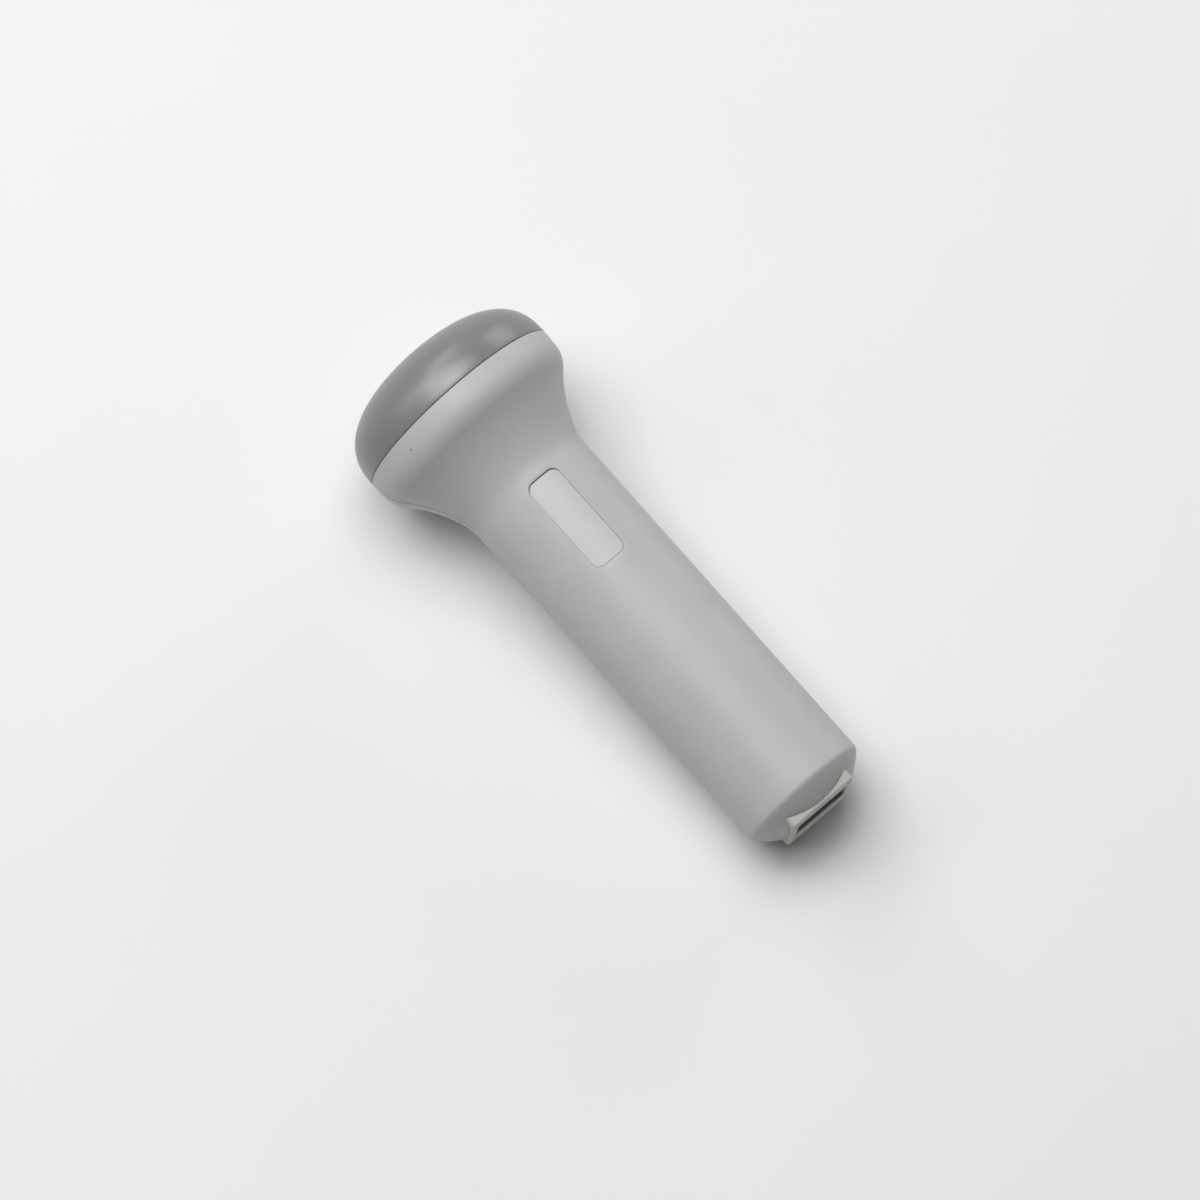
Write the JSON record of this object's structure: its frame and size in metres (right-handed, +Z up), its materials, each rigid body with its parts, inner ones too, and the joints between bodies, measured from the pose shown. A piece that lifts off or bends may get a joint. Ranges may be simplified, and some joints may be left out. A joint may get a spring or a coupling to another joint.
{
  "type": "doppler probe",
  "caption": "Hand-held ultrasound probe with a domed sound window on a flared head, a round handle, a recessed blank name plate and a modular cable socket in its end.",
  "frame": {"origin": "centre of the bounding box's bottom face: the level surface that the probe lies on", "axes": "+X from the sound window towards the cable socket, +Z up through the name plate"},
  "size_m": [0.1176, 0.044, 0.044],
  "materials": {
    "shell_plastic": "fine satin, light grey",
    "cap_plastic": "satin, mid grey",
    "label_film": "satin, pale grey",
    "socket_plastic": "satin, light grey",
    "insert_plastic": "satin, black",
    "seal_rubber": "black",
    "matching_resin": "cast resin",
    "piezo_ceramic": "ground ceramic",
    "divider_cork": "bare cork",
    "carrier_plastic": "as moulded",
    "pad_foam": "cut foam",
    "screen_copper": "bare copper",
    "lead_sleeve": "extruded",
    "screw_steel": "zinc plated",
    "board_laminate": "green solder mask",
    "chip_resin": "moulded black resin",
    "can_tinplate": "tinned",
    "coil_ferrite": "potted ferrite",
    "capacitor_sleeve": "shrink sleeve",
    "capacitor_ceramic": "fired ceramic",
    "contact_gold": "gold plated"
  },
  "bodies": {
    "root": {"face_cap": "cap_plastic", "upper_shell": "shell_plastic", "lower_shell": "shell_plastic", "label": "label_film", "socket_housing": "socket_plastic", "socket_insert": "insert_plastic", "cap_seal": "seal_rubber", "matching_layer": "matching_resin", "transmit_crystal": "piezo_ceramic", "receive_crystal": "piezo_ceramic", "acoustic_divider": "divider_cork", "crystal_carrier": "carrier_plastic", "backing_pad": "pad_foam", "screen_cup": "screen_copper", "retaining_ring": "carrier_plastic", "transmit_lead": "lead_sleeve", "receive_lead": "lead_sleeve", "circuit_board": "board_laminate", "shield_can": "can_tinplate", "amplifier_chip": "chip_resin", "driver_chip": "chip_resin", "resonator_can": "can_tinplate", "tuning_coil": "coil_ferrite", "reservoir_capacitor": "capacitor_sleeve", "chip_capacitor_1": "capacitor_ceramic", "chip_capacitor_2": "capacitor_ceramic", "chip_capacitor_3": "capacitor_ceramic", "chip_capacitor_4": "capacitor_ceramic", "board_screw_1": "screw_steel", "case_screw_1": "screw_steel", "board_screw_2": "screw_steel", "case_screw_2": "screw_steel", "socket_contact_1": "contact_gold", "socket_contact_2": "contact_gold", "socket_contact_3": "contact_gold", "socket_contact_4": "contact_gold", "socket_contact_5": "contact_gold", "socket_contact_6": "contact_gold", "socket_contact_7": "contact_gold", "socket_contact_8": "contact_gold"}
  },
  "joints": []
}
